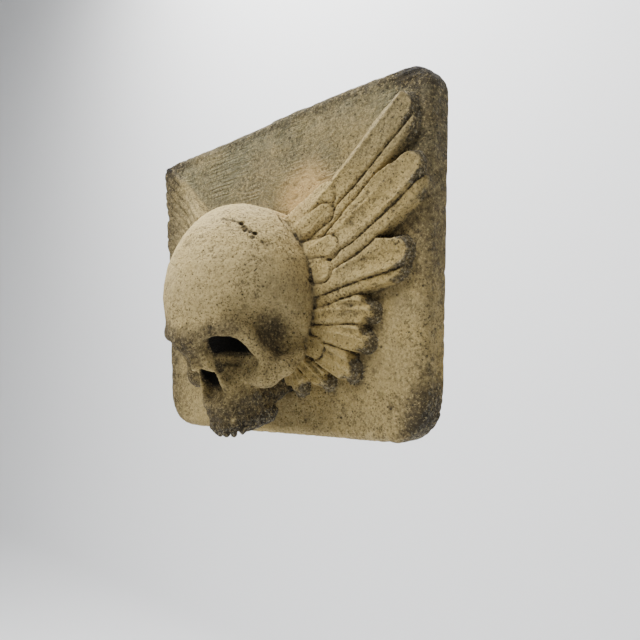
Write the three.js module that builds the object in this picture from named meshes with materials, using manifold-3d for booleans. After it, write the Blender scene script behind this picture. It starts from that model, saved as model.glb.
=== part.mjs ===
import * as THREE from "three";
import { mergeVertices } from "three/addons/utils/BufferGeometryUtils.js";
import Module from "manifold-3d";

// Winged skull wall plaque: a skull between two spread wings, cast in one piece with its slab.
// Millimetres, +Z up, the back of the slab lies on y = 0 and the carving faces -Y.

// Slab
const SLAB_HEIGHT = 300;
const SLAB_TOP_WIDTH = 372;
const SLAB_BOTTOM_WIDTH = 340;
const SLAB_THICKNESS = 25;
const SLAB_EDGE_BEVEL = 8;
const SLAB_BACK_BEVEL = 3;
const TOP_LEFT_CORNER = 12;
const TOP_RIGHT_CORNER = 26;
const BOTTOM_CORNER = 34;
const TOP_EDGE_SWELL = 1.6;
const EDGE_SWELL = 0.6;

// Skull, life size
const SKULL_WIDTH = 148;
const SKULL_TILT = THREE.MathUtils.degToRad(27.6);
const NOSE_BRIDGE_REACH = 94;
const NOSE_BRIDGE_DROP = 75;
const SKULL_GRAIN = 5;
const CRANIUM_GRAIN = 12;

// Teeth of one side from the middle outwards; those behind them are worn to one rough lump
const TOOTH_WIDTHS = [8.5, 6.8, 7.6, 7, 6.8];
const TOOTH_LENGTHS = [10, 9, 10, 9.5, 9.5];

// Wings
const FEATHER_ROOT_RELIEF = 20;
const FEATHER_TIP_RELIEF = 12.5;
const FEATHER_HALF_WIDTH = 14;
const STRIP_DROP = 3;
const STRIP_OFFSET = 9.5;
const STRIP_SETBACK = 8;
const WING_ROOT_RELIEF = 18;
const COVERT_RELIEF = 24;
const COVERT_TIP_RELIEF = 17;
const COVERT_HALF_WIDTH = 10;
const VANE_TUCK = 5;
const SINK = 6;

// Feathers as root, bend and tip in shares of the slab's half width and half height,
// then width as a share, and how far a lower vane shows beneath as a share of its offset
const FEATHERS = [
  [0.247, 0.133, 0.602, 0.48, 0.86, 0.753, 1.036, 1],
  [0.312, 0, 0.688, 0.2, 0.898, 0.427, 1, 1.2],
  [0.323, -0.147, 0.634, -0.053, 0.828, 0, 0.929, 1],
  [0.301, -0.28, 0.527, -0.287, 0.667, -0.3, 0.857, 0],
  [0.29, -0.36, 0.495, -0.4, 0.634, -0.46, 0.821, 0],
  [0.258, -0.413, 0.452, -0.533, 0.554, -0.62, 0.821, 0],
  [0.226, -0.467, 0.344, -0.6, 0.403, -0.673, 0.75, 0],
  [0.172, -0.507, 0.22, -0.633, 0.226, -0.7, 0.786, 0],
];

// Coverts in the same shares, each a rounded scale over the feather roots
const COVERTS = [
  [0.215, 0.2, 0.36, 0.3, 0.455, 0.372, 1.3],
  [0.269, 0.147, 0.376, 0.227, 0.462, 0.273, 0.8],
  [0.269, 0.053, 0.403, 0.067, 0.484, 0.073, 1],
  [0.258, -0.053, 0.349, -0.053, 0.441, -0.053, 1],
  [0.269, -0.44, 0.333, -0.467, 0.387, -0.487, 0.9],
];

// Raised root of the wing beside the skull, in the same shares
const WING_ROOT = [0.09, 0.24, 0.58, 0, 0.2, -0.46, 1.5];

// Outline of the slab

function arc(centre, radius, from, to, steps) {
  const points = [];
  for (let i = 0; i <= steps; i++) {
    const turn = from + ((to - from) * i) / steps;
    points.push([centre[0] + radius * Math.cos(turn), centre[1] + radius * Math.sin(turn)]);
  }
  return points;
}

function slabOutline() {
  const half = SLAB_HEIGHT / 2;
  const top = SLAB_TOP_WIDTH / 2;
  const bottom = SLAB_BOTTOM_WIDTH / 2;
  const slope = (top - bottom) / SLAB_HEIGHT;
  const side = (z) => top + (z - half) * slope;
  const r = BOTTOM_CORNER;
  const points = [];
  const edge = (from, to, steps, wave) => {
    const outward = new THREE.Vector2(to[1] - from[1], from[0] - to[0]).normalize();
    for (let i = 1; i < steps; i++) {
      const t = i / steps;
      const swell = wave * Math.sin(Math.PI * t) * (1 + Math.sin(5.5 * t + 0.6));
      const x = from[0] + (to[0] - from[0]) * t + outward.x * swell;
      const z = from[1] + (to[1] - from[1]) * t + outward.y * swell;
      points.push([x, z]);
    }
  };
  const corner = (x, z, radius, from) => points.push(...arc([x, z], radius, from, from + Math.PI / 2, 5));
  corner(side(-half + r) - r, -half + r, r, -Math.PI / 2);
  edge(points.at(-1), [side(half - TOP_RIGHT_CORNER), half - TOP_RIGHT_CORNER], 5, EDGE_SWELL);
  corner(side(half - TOP_RIGHT_CORNER) - TOP_RIGHT_CORNER, half - TOP_RIGHT_CORNER, TOP_RIGHT_CORNER, 0);
  edge(points.at(-1), [-top + TOP_LEFT_CORNER, half], 10, TOP_EDGE_SWELL);
  corner(-side(half - TOP_LEFT_CORNER) + TOP_LEFT_CORNER, half - TOP_LEFT_CORNER, TOP_LEFT_CORNER, Math.PI / 2);
  edge(points.at(-1), [-side(-half + r), -half + r], 5, EDGE_SWELL);
  corner(-side(-half + r) + r, -half + r, r, Math.PI);
  edge(points.at(-1), points[0], 7, EDGE_SWELL);
  return points;
}

// Moves an anticlockwise outline inwards by a distance
function inset(points, distance) {
  return points.map((point, i) => {
    const before = points.at(i - 1);
    const after = points[(i + 1) % points.length];
    const along = new THREE.Vector2(after[0] - before[0], after[1] - before[1]).normalize();
    return [point[0] - along.y * distance, point[1] + along.x * distance];
  });
}

// Triangles over a flat ring, running the same way round as the ring
function capTriangles(ring, flatten) {
  const outline = ring.map((point) => new THREE.Vector2(...flatten(point)));
  const triangles = THREE.ShapeUtils.triangulateShape(outline, []);
  const areas = triangles.map((corners) => THREE.ShapeUtils.area(corners.map((n) => outline[n])));
  const total = areas.reduce((sum, area) => sum + area, 0);
  const same = total > 0 === THREE.ShapeUtils.area(outline) > 0;
  return triangles.map(([a, b, c]) => (same ? [a, b, c] : [a, c, b]));
}

// Closed solid from rings of equal length, each a list of [x, y, z]; flat caps at both ends
function loft(rings, flatten) {
  const count = rings[0].length;
  const vertices = rings.flat(2);
  const index = [];
  for (let r = 0; r + 1 < rings.length; r++) {
    for (let i = 0; i < count; i++) {
      const j = (i + 1) % count;
      const a = r * count + i;
      const b = r * count + j;
      index.push(a, b, b + count, a, b + count, a + count);
    }
  }
  const last = (rings.length - 1) * count;
  for (const [a, b, c] of capTriangles(rings[0], flatten)) {
    index.push(c, b, a);
  }
  for (const [a, b, c] of capTriangles(rings.at(-1), flatten)) {
    index.push(last + a, last + b, last + c);
  }
  return closed(vertices, index);
}

// Geometry with its faces outwards, whichever way the rings ran
function closed(vertices, index) {
  const point = (i) => new THREE.Vector3(...vertices.slice(3 * i, 3 * i + 3));
  let volume = 0;
  for (let i = 0; i < index.length; i += 3) {
    const [a, b, c] = [point(index[i]), point(index[i + 1]), point(index[i + 2])];
    volume += a.dot(b.cross(c));
  }
  if (volume < 0) {
    index.reverse();
  }
  const geometry = new THREE.BufferGeometry();
  geometry.setAttribute("position", new THREE.Float32BufferAttribute(vertices, 3));
  geometry.setIndex(index);
  return geometry;
}

function slab() {
  const outline = slabOutline();
  const bevel = SLAB_EDGE_BEVEL;
  const steps = 3;
  const levels = [[SLAB_BACK_BEVEL, 0], [0, -SLAB_BACK_BEVEL]];
  for (let i = 0; i <= steps; i++) {
    const turn = (Math.PI / 2) * (i / steps);
    levels.push([bevel * (1 - Math.cos(turn)), -(SLAB_THICKNESS - bevel + bevel * Math.sin(turn))]);
  }
  const rings = levels.map(([distance, y]) => inset(outline, distance).map(([x, z]) => [x, y, z]));
  return loft(rings, ([x, , z]) => [x, z]);
}

// Feathers and coverts

// Point and direction on the curve from root over bend to tip
function onCurve(line, t) {
  const [root, bend, tip] = line;
  const value = (k) => (1 - t) ** 2 * root[k] + 2 * t * (1 - t) * bend[k] + t ** 2 * tip[k];
  const slope = (k) => (1 - t) * (bend[k] - root[k]) + t * (tip[k] - bend[k]);
  const along = new THREE.Vector2(slope(0), slope(1)).normalize();
  return [value(0), value(1), along];
}

// Long rounded blade on the slab's face: profile holds [share of half width, share of height] from the
// upper to the lower edge; the upper edge reaches further by the tuck, under the blade above it.
// hand is 1 on the right wing and -1 on the left one
function blade(line, hand, halfWidth, rootRelief, tipRelief, profile, stations, tuck = 0) {
  const rings = [];
  const ring = (x, z, along, width, relief, hidden = 0) => {
    const side = [hand * along.y, -hand * along.x];
    return profile.map(([q, h]) => {
      const rise = h < 0 ? -SINK : relief * h;
      const across = width * q - (q < -0.8 ? hidden : 0);
      return [x + side[0] * across, -(SLAB_THICKNESS + rise), z + side[1] * across];
    });
  };
  for (let i = 0; i < stations; i++) {
    const t = i / (stations - 1);
    const [x, z, along] = onCurve(line, t);
    const relief = rootRelief + (tipRelief - rootRelief) * t;
    const hidden = tuck * (1 - THREE.MathUtils.smoothstep(t, 0.7, 1));
    rings.push(ring(x, z, along, halfWidth * (0.8 + 0.2 * t), relief, hidden));
  }
  const [x, z, along] = onCurve(line, 1);
  for (const turn of [0.6, 1.1, 1.42]) {
    const step = halfWidth * Math.sin(turn);
    const width = halfWidth * Math.cos(turn);
    const relief = tipRelief * (1 - 0.1 * turn);
    rings.push(ring(x + along.x * step, z + along.y * step, along, width, relief));
  }
  const across = ([px, y, pz]) => [px * along.y - pz * along.x, y];
  return loft(rings, across);
}

const TOP_VANE = [[-1, -1], [-0.94, 0.74], [-0.34, 1.04], [0.2, 0.99], [0.9, 0.92], [1, -1]];
const VANE = [[-1, -1], [-0.9, 0.93], [-0.45, 1.03], [0.1, 0.93], [0.88, 0.97], [1, -1]];
const SCALE = [[-1, -1], [-0.86, 0.93], [0, 1], [0.86, 0.93], [1, -1]];

function wing(side) {
  const halfWidth = SLAB_TOP_WIDTH / 2;
  const halfHeight = SLAB_HEIGHT / 2;
  const curve = (row) => [0, 2, 4].map((k) => [side * row[k] * halfWidth, row[k + 1] * halfHeight]);
  const solids = [];
  FEATHERS.forEach((row, n) => {
    const line = curve(row);
    const width = FEATHER_HALF_WIDTH * row[6];
    const profile = n === 0 ? TOP_VANE : VANE;
    const tuck = n === 0 ? 0 : VANE_TUCK;
    solids.push(blade(line, side, width, FEATHER_ROOT_RELIEF, FEATHER_TIP_RELIEF, profile, 6, tuck));
    if (row[7]) {
      const [, , along] = onCurve(line, 1);
      const offset = side * STRIP_OFFSET * row[7];
      const down = [along.y * offset, -along.x * offset];
      const lower = line.map(([x, z], k) => {
        const back = k === 2 ? STRIP_SETBACK : 0;
        return [x + down[0] - along.x * back, z + down[1] - along.y * back];
      });
      const root = FEATHER_ROOT_RELIEF - STRIP_DROP;
      const tip = FEATHER_TIP_RELIEF - STRIP_DROP;
      solids.push(blade(lower, side, width * 0.95, root, tip, SCALE, 6));
    }
  });
  const root = COVERT_HALF_WIDTH * WING_ROOT[6];
  solids.push(blade(curve(WING_ROOT), side, root, WING_ROOT_RELIEF, WING_ROOT_RELIEF, SCALE, 7));
  for (const row of COVERTS) {
    const width = COVERT_HALF_WIDTH * row[6];
    solids.push(blade(curve(row), side, width, COVERT_RELIEF, COVERT_TIP_RELIEF, SCALE, 4));
  }
  return solids;
}

// Skull, described by how far a point lies from its surface

function smoothMin(a, b, k) {
  const h = Math.max(k - Math.abs(a - b), 0) / k;
  return Math.min(a, b) - h * h * k * 0.25;
}

function smoothMax(a, b, k) {
  return -smoothMin(-a, -b, k);
}

function ellipsoid(x, y, z, [rx, ry, rz]) {
  const k0 = Math.hypot(x / rx, y / ry, z / rz);
  const k1 = Math.hypot(x / (rx * rx), y / (ry * ry), z / (rz * rz));
  return (k0 * (k0 - 1)) / Math.max(k1, 1e-9);
}

function rod(x, y, z, from, to, startRadius, endRadius) {
  const [bx, by, bz] = [to[0] - from[0], to[1] - from[1], to[2] - from[2]];
  const [px, py, pz] = [x - from[0], y - from[1], z - from[2]];
  const share = (px * bx + py * by + pz * bz) / (bx * bx + by * by + bz * bz);
  const t = Math.min(Math.max(share, 0), 1);
  const away = Math.hypot(px - bx * t, py - by * t, pz - bz * t);
  return away - (startRadius + (endRadius - startRadius) * t);
}

// Horseshoe block that carries the teeth
function toothArch(side, front, up) {
  const round = (Math.hypot(side / 29, (front + 33) / 36) - 1) * 29;
  const wall = front < -33 ? side - 29 : round;
  const level = Math.max(-74 - up, up + 48);
  return Math.hypot(Math.max(wall + 4, 0), Math.max(level + 4, 0)) - 4 + Math.min(Math.max(wall, level) + 4, 0);
}

// side is measured from the middle, front and up along the tilted face from the bridge of the nose,
// back and rise the same way without the tilt
function skullField(side, front, up, back, rise) {
  const behind = Math.max(back - 57, 0);
  const depth = Math.min(back - 57, 0) + 0.4 * behind;
  const high = Math.min(Math.max((rise - 49) / 80, 0), 1);
  let d = ellipsoid(side * (1 + 0.08 * high * high), depth, rise - 49, [74, 67, 86]);
  d = smoothMax(d, -(up + 38), 14);
  const add = (shape, k) => {
    d = smoothMin(d, shape, k);
  };
  const cut = (shape, k) => {
    d = smoothMax(d, -shape, k);
  };
  // bulge between the brows, then the brow over the eye socket
  add(rod(side, front, up, [6, -4.5, 8], [20, -10, 12], 8.5, 6), 12);
  add(rod(side, front, up, [20, -10, 12], [37, -18, 10.5], 6, 5), 8);
  add(rod(side, front, up, [37, -18, 10.5], [45, -26, -1], 5, 5.5), 8);
  // outer rim of the eye socket
  add(rod(side, front, up, [45, -26, -1], [48, -32, -26], 5.5, 7.5), 8);
  // core of the face
  add(ellipsoid(side, front + 42, up + 26, [40, 31, 32]), 9);
  // bones of the nose and the sides of its opening
  add(rod(side, front, up, [0, -4, 2], [0, -0.5, -15], 4.5, 4.2), 4);
  add(rod(side, front, up, [5, -10, 1], [13, -10, -26], 5, 5.5), 6);
  add(rod(side, front, up, [13, -10, -26], [17, -13, -46], 5.5, 6), 6);
  // cheekbone and the arch behind it
  add(ellipsoid(side - 41, front + 30, up + 37, [14, 11, 11]), 9);
  add(rod(side, front, up, [48, -31, -39], [61, -42, -35.5], 10, 8.2), 6);
  add(rod(side, front, up, [61, -42, -35.5], [64.5, -56, -31.5], 8.2, 6.6), 3);
  add(rod(side, front, up, [64.5, -56, -31.5], [52, -74, -24], 6.6, 5), 3);
  // upper jaw, and the lump that the back teeth are worn to
  add(ellipsoid(side, front + 29, up + 54, [27, 24, 27]), 9);
  add(toothArch(side, front, up), 7);
  add(rod(side, front, up, [19, -14, -78.5], [24, -36, -78.5], 5.5, 8), 4);
  // hollow of the temple
  cut(ellipsoid(side - 69, front + 45, up + 13, [17, 14, 23]), 10);
  // eye socket, wide and flat-topped; its back wall runs out softly over the cheek
  const round = (Math.abs((side - 29) / 17) ** 3 + Math.abs((up + 12) / 20.5) ** 3) ** (1 / 3);
  const socket = -smoothMax((round - 1) * 17, -0.8 * (front + 50 + 0.78 * up), 8);
  const low = THREE.MathUtils.smoothstep(-up, 12, 28);
  const crisp = smoothMax(d, socket, 4);
  d = crisp + (smoothMax(d, socket, 12) - crisp) * low;
  // nose opening, deep under the nose bones and shallow at the jaw
  const width = 10.8 + 0.1 * Math.min(Math.max(-20 - up, 0), 24);
  let nose = smoothMax(side - width, up + 18 + 0.42 * side, 4);
  nose = smoothMax(nose, -(up + 50), 10);
  nose = smoothMax(nose, -(front + 34 - 0.5 * Math.min(Math.max(-15 - up, 0), 36)), 6);
  cut(nose, 3);
  // hollow beside the nose
  cut(ellipsoid(side - 30, front + 6, up + 50, [8, 8, 10]), 9);
  // core behind the jaw
  add(ellipsoid(side, back - 55, rise + 29, [24, 22, 30]), 10);
  return d;
}

// The skull's own forms are written for a skull 148 wide and scale with its width
const skullScale = SKULL_WIDTH / 148;
const bridgeY = -(SLAB_THICKNESS + NOSE_BRIDGE_REACH);
const bridgeZ = -NOSE_BRIDGE_DROP;

// From the tilted frame of the face to the plaque
function fromFace(side, front, up) {
  const [c, s] = [Math.cos(SKULL_TILT), Math.sin(SKULL_TILT)];
  const y = -c * front - s * up;
  const z = -s * front + c * up;
  return [side * skullScale, bridgeY + y * skullScale, bridgeZ + z * skullScale];
}

function skullDistance(x, y, z) {
  const [c, s] = [Math.cos(SKULL_TILT), Math.sin(SKULL_TILT)];
  const side = Math.abs(x) / skullScale;
  const back = (y - bridgeY) / skullScale;
  const rise = (z - bridgeZ) / skullScale;
  const front = -c * back - s * rise;
  const up = -s * back + c * rise;
  const d = skullField(side, front, up, back, rise) * skullScale;
  return Math.max(d, y + SLAB_THICKNESS - SINK);
}

// Grid lines from low to high, close together up to the limit and wide apart beyond it
function gridLines(low, limit, high, close, wide) {
  const lines = [];
  const closeSteps = Math.ceil((limit - low) / close);
  for (let i = 0; i <= closeSteps; i++) {
    lines.push(low + i * close);
  }
  while (lines.at(-1) < high) {
    lines.push(lines.at(-1) + wide);
  }
  return lines;
}

// Where four grid points in a square lie in and out by turns, the one nearest the surface changes
// sides, so that no two walls of the surface touch along a line
function settle(values, size, at) {
  const steps = [[1, 0, 0], [0, 1, 0], [0, 0, 1]];
  let changed = true;
  for (let pass = 0; changed && pass < 30; pass++) {
    changed = false;
    for (let i = 0; i + 1 < size[0]; i++) {
      for (let j = 0; j + 1 < size[1]; j++) {
        for (let k = 0; k + 1 < size[2]; k++) {
          for (let n = 0; n < 3; n++) {
            const [p, q] = [steps[n], steps[(n + 1) % 3]];
            const square = [
              at(i, j, k),
              at(i + p[0], j + p[1], k + p[2]),
              at(i + p[0] + q[0], j + p[1] + q[1], k + p[2] + q[2]),
              at(i + q[0], j + q[1], k + q[2]),
            ];
            const inside = square.map((spot) => values[spot] < 0);
            if (inside[0] === inside[2] && inside[1] === inside[3] && inside[0] !== inside[1]) {
              const nearest = square.reduce((a, b) => (Math.abs(values[b]) < Math.abs(values[a]) ? b : a));
              values[nearest] = values[nearest] < 0 ? 0.02 : -0.02;
              changed = true;
            }
          }
        }
      }
    }
  }
}

// Closed surface where the distance is zero, one point in each cell of the grid that it crosses
function surface(distance, xs, ys, zs) {
  const lines = [xs, ys, zs];
  const size = lines.map((axis) => axis.length);
  const at = (i, j, k) => (i * size[1] + j) * size[2] + k;
  const values = new Float64Array(size[0] * size[1] * size[2]);
  for (let i = 0; i < size[0]; i++) {
    for (let j = 0; j < size[1]; j++) {
      for (let k = 0; k < size[2]; k++) {
        values[at(i, j, k)] = distance(xs[i], ys[j], zs[k]);
      }
    }
  }
  settle(values, size, at);
  const vertices = [];
  const cell = new Int32Array(values.length).fill(-1);
  const corners = [0, 1, 2, 3, 4, 5, 6, 7].map((n) => [n & 1, (n >> 1) & 1, (n >> 2) & 1]);
  const edges = [];
  for (let a = 0; a < 8; a++) {
    for (const bit of [1, 2, 4]) {
      if (!(a & bit)) {
        edges.push([a, a | bit]);
      }
    }
  }
  const place = (spot, count, cellIndex) => {
    const position = lines.map((axis, n) => {
      const from = axis[cellIndex[n]];
      return from + (axis[cellIndex[n] + 1] - from) * (spot[n] / count);
    });
    vertices.push(...position);
  };
  for (let i = 0; i + 1 < size[0]; i++) {
    for (let j = 0; j + 1 < size[1]; j++) {
      for (let k = 0; k + 1 < size[2]; k++) {
        const value = corners.map(([a, b, c]) => values[at(i + a, j + b, k + c)]);
        const spot = [0, 0, 0];
        let count = 0;
        for (const [a, b] of edges) {
          if (value[a] < 0 !== value[b] < 0) {
            const t = value[a] / (value[a] - value[b]);
            for (let n = 0; n < 3; n++) {
              spot[n] += corners[a][n] + (corners[b][n] - corners[a][n]) * t;
            }
            count++;
          }
        }
        if (count) {
          cell[at(i, j, k)] = vertices.length / 3;
          place(spot, count, [i, j, k]);
        }
      }
    }
  }
  const index = [];
  const quad = (a, b, c, d, flip) => {
    const [p, q, r, s] = [a, b, c, d].map((n) => cell[n]);
    index.push(...(flip ? [p, r, q, p, s, r] : [p, q, r, p, r, s]));
  };
  for (let i = 1; i + 1 < size[0]; i++) {
    for (let j = 1; j + 1 < size[1]; j++) {
      for (let k = 1; k + 1 < size[2]; k++) {
        const here = values[at(i, j, k)] < 0;
        if (here !== values[at(i + 1, j, k)] < 0) {
          quad(at(i, j - 1, k - 1), at(i, j, k - 1), at(i, j, k), at(i, j - 1, k), !here);
        }
        if (here !== values[at(i, j + 1, k)] < 0) {
          quad(at(i - 1, j, k - 1), at(i - 1, j, k), at(i, j, k), at(i, j, k - 1), !here);
        }
        if (here !== values[at(i, j, k + 1)] < 0) {
          quad(at(i - 1, j - 1, k), at(i, j - 1, k), at(i, j, k), at(i - 1, j, k), !here);
        }
      }
    }
  }
  return closed(vertices, index);
}

function skull() {
  const s = skullScale;
  const close = SKULL_GRAIN;
  const wide = CRANIUM_GRAIN;
  const half = gridLines(0, 54 * s, 90 * s, close, (close + wide) / 2);
  const xs = [...half.slice(1).reverse().map((x) => -x), ...half];
  const ys = gridLines(bridgeY - 24 * s, bridgeY + 50 * s, SINK - SLAB_THICKNESS, close, (close + wide) / 2);
  const zs = gridLines(bridgeZ - 92 * s, bridgeZ + 20 * s, bridgeZ + 140 * s, close, wide);
  return surface(skullDistance, xs, [...ys, ys.at(-1) + wide], zs);
}

// One crown: a small rounded peg that hangs from the tooth arch
function crown(side, place, turn, width, length) {
  const levels = [[0.82, 0.72, -5], [1, 1, 1], [1, 0.95, length * 0.55], [0.78, 0.6, length]];
  const rings = levels.map(([wide, deep, drop]) => {
    const ring = [];
    for (let i = 0; i < 7; i++) {
      const angle = (2 * Math.PI * i) / 7;
      const across = Math.cos(angle) * width * 0.52 * wide;
      const through = Math.sin(angle) * 4.2 * deep;
      const lateral = place[0] + across * Math.cos(turn) + through * Math.sin(turn);
      const forward = place[1] - across * Math.sin(turn) + through * Math.cos(turn);
      ring.push(fromFace(side * lateral, forward, -73 - drop));
    }
    return ring;
  });
  return loft(rings, ([x, y]) => [x, y]);
}

function teeth(side) {
  const solids = [];
  let travelled = 0;
  let turn = 0;
  const [halfSpan, reach] = [26.5, 34];
  const spot = (angle) => [halfSpan * Math.sin(angle), -33 + reach * Math.cos(angle)];
  TOOTH_WIDTHS.forEach((realWidth, n) => {
    const width = realWidth / skullScale;
    const middle = travelled + width / 2;
    travelled += width;
    let walked = 0;
    turn = 0;
    while (walked < middle && turn < Math.PI * 0.75) {
      const [a, b] = [spot(turn), spot(turn + 0.01)];
      walked += Math.hypot(b[0] - a[0], b[1] - a[1]);
      turn += 0.01;
    }
    const place = spot(turn);
    const heading = Math.atan2(reach * Math.sin(turn), halfSpan * Math.cos(turn));
    solids.push(crown(side, place, heading, width, TOOTH_LENGTHS[n] / skullScale));
  });
  return solids;
}

// Everything joined to one casting

const wasm = await Module();
wasm.setup();

function solid(geometry) {
  const bare = new THREE.BufferGeometry();
  bare.setAttribute("position", geometry.getAttribute("position"));
  bare.setIndex(geometry.getIndex());
  const merged = mergeVertices(bare, 1e-5);
  const mesh = new wasm.Mesh({
    numProp: 3,
    vertProperties: new Float32Array(merged.getAttribute("position").array),
    triVerts: new Uint32Array(merged.getIndex().array),
  });
  return new wasm.Manifold(mesh);
}

const carving = [
  ...wing(1),
  ...wing(-1),
  skull(),
  ...teeth(1),
  ...teeth(-1),
];
const casting = carving.reduce((whole, piece) => whole.add(solid(piece)), solid(slab()));

// The casting is solid throughout, so of the closed shells in the joined mesh only the outer one is
// kept, and small gaps shut in between overlapping feathers are filled
function outerShell({ vertProperties, triVerts }) {
  const joined = new THREE.BufferGeometry();
  joined.setAttribute("position", new THREE.Float32BufferAttribute(vertProperties, 3));
  joined.setIndex(new THREE.Uint32BufferAttribute(triVerts, 1));
  const merged = mergeVertices(joined, 1e-3);
  const index = merged.getIndex().array;
  const position = merged.getAttribute("position");
  const leader = Array.from({ length: position.count }, (_, i) => i);
  const find = (i) => {
    while (leader[i] !== i) {
      leader[i] = leader[leader[i]];
      i = leader[i];
    }
    return i;
  };
  for (let t = 0; t < index.length; t += 3) {
    leader[find(index[t + 1])] = find(index[t]);
    leader[find(index[t + 2])] = find(index[t]);
  }
  const shells = new Map();
  const point = (i) => new THREE.Vector3().fromBufferAttribute(position, i);
  for (let t = 0; t < index.length; t += 3) {
    const corners = [index[t], index[t + 1], index[t + 2]];
    const [a, b, c] = corners.map(point);
    const shell = shells.get(find(corners[0])) ?? { volume: 0, corners: [] };
    shell.volume += a.dot(b.cross(c));
    if (new Set(corners).size === 3) {
      shell.corners.push(...corners);
    }
    shells.set(find(corners[0]), shell);
  }
  const outer = [...shells.values()].reduce((a, b) => (b.volume > a.volume ? b : a));
  merged.setIndex(outer.corners);
  merged.computeVertexNormals();
  return merged;
}

const geometry = outerShell(casting.getMesh());

const stone = new THREE.MeshStandardMaterial({ color: 0xa8956c, roughness: 0.95, metalness: 0 });
stone.name = "cast_stone";
const plaque = new THREE.Mesh(geometry, stone);
plaque.name = "winged_skull_plaque";

const group = new THREE.Group();
group.name = "winged_skull_wall_plaque";
group.add(plaque);

export default group;
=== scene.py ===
"""Winged skull wall plaque in cast stone: a skull between two spread wings on a rectangular slab.

The casting is carved as one closed form from named sizes, roughened with geometry nodes and finished
in a procedural sandy stone. The properties are in metres. The carving functions work in millimetres
in the same frame: the slab's back lies on y = 0 and the carving faces -Y.
"""

import itertools
import math
from functools import partial

import bpy
import numpy as np
from mathutils import Matrix, Vector


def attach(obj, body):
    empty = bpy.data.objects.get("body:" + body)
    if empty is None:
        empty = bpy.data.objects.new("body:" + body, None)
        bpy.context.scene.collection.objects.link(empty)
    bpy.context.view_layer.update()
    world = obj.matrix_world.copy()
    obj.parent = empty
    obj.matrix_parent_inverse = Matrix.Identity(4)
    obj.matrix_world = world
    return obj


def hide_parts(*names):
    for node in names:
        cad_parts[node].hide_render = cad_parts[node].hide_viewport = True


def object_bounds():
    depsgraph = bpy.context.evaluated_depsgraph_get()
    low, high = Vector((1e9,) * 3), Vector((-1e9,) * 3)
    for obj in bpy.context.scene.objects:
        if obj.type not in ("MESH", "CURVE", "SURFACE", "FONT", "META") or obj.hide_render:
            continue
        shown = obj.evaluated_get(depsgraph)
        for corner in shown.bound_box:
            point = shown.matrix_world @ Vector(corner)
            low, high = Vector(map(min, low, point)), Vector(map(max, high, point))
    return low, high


bl_info = {
    "name": "Winged Skull Plaque",
    "version": (1, 0, 0),
    "blender": (4, 5, 0),
    "location": "3D View > Sidebar > Plaque",
    "description": "Builds a cast stone wall plaque with a winged skull in high relief",
    "category": "Add Mesh",
}

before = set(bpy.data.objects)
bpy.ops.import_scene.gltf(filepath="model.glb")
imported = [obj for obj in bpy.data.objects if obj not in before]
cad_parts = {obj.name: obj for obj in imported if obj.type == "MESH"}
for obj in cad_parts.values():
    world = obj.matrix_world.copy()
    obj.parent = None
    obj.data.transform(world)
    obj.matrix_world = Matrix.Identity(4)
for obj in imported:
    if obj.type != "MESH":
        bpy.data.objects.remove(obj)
CAST_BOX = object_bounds()
MM = 1000.0

# Feathers from the top as root, bend and tip in shares of the slab's half width and half height, then
# width as a share, and how far a lower vane shows beneath as a share of its offset
FEATHERS = (
    (0.247, 0.133, 0.602, 0.48, 0.86, 0.753, 1.036, 1.0),
    (0.312, 0.0, 0.688, 0.2, 0.898, 0.427, 1.0, 1.2),
    (0.323, -0.147, 0.634, -0.053, 0.828, 0.0, 0.929, 1.0),
    (0.301, -0.28, 0.527, -0.287, 0.667, -0.3, 0.857, 0.0),
    (0.29, -0.36, 0.495, -0.4, 0.634, -0.46, 0.821, 0.0),
    (0.258, -0.413, 0.452, -0.533, 0.554, -0.62, 0.821, 0.0),
    (0.226, -0.467, 0.344, -0.6, 0.403, -0.673, 0.75, 0.0),
    (0.172, -0.507, 0.22, -0.633, 0.226, -0.7, 0.786, 0.0),
)
# Short feathers over the wing root, in the same way but with no lower vane, and the root itself
COVERTS = (
    (0.215, 0.2, 0.36, 0.3, 0.455, 0.372, 1.3),
    (0.269, 0.147, 0.376, 0.227, 0.462, 0.273, 0.8),
    (0.269, 0.053, 0.403, 0.067, 0.484, 0.073, 1.0),
    (0.258, -0.053, 0.349, -0.053, 0.441, -0.053, 1.0),
    (0.269, -0.44, 0.333, -0.467, 0.387, -0.487, 0.9),
)
WING_ROOT = (0.09, 0.24, 0.58, 0.0, 0.2, -0.46, 1.5)
WING_ROOT_HEIGHT = 19.0
# The first three feathers are long, with thin tips
LONG_FEATHERS = 3

# Left wing in millimetres: how much higher its tips sit, what shares of its relief are worn away and
# of its crust are left, and the plate with parallel grooves that run out to the slab's top left corner
LEFT_LIFT = 9.0
LEFT_WORN = 0.68
LEFT_CRUST = 0.3
PLATE_HEIGHT = 5.0
GROOVE_ACROSS = (-0.632, 0.775)
GROOVE_SPACING = 8.4
GROOVE_HALF_WIDTH = 1.3
GROOVE_DEPTH = 1.5

# The skull's design size in millimetres: width of the cranium, and the slab's front that it stands off.
# The face is measured sideways, forward and up from the bridge of the nose.
DESIGN_WIDTH = 148.0
DESIGN_FRONT = 25.0
SOCKET_MIDDLE = (28.7, -12.0)
SOCKET_REACH = (16.3, 20.5)

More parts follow.
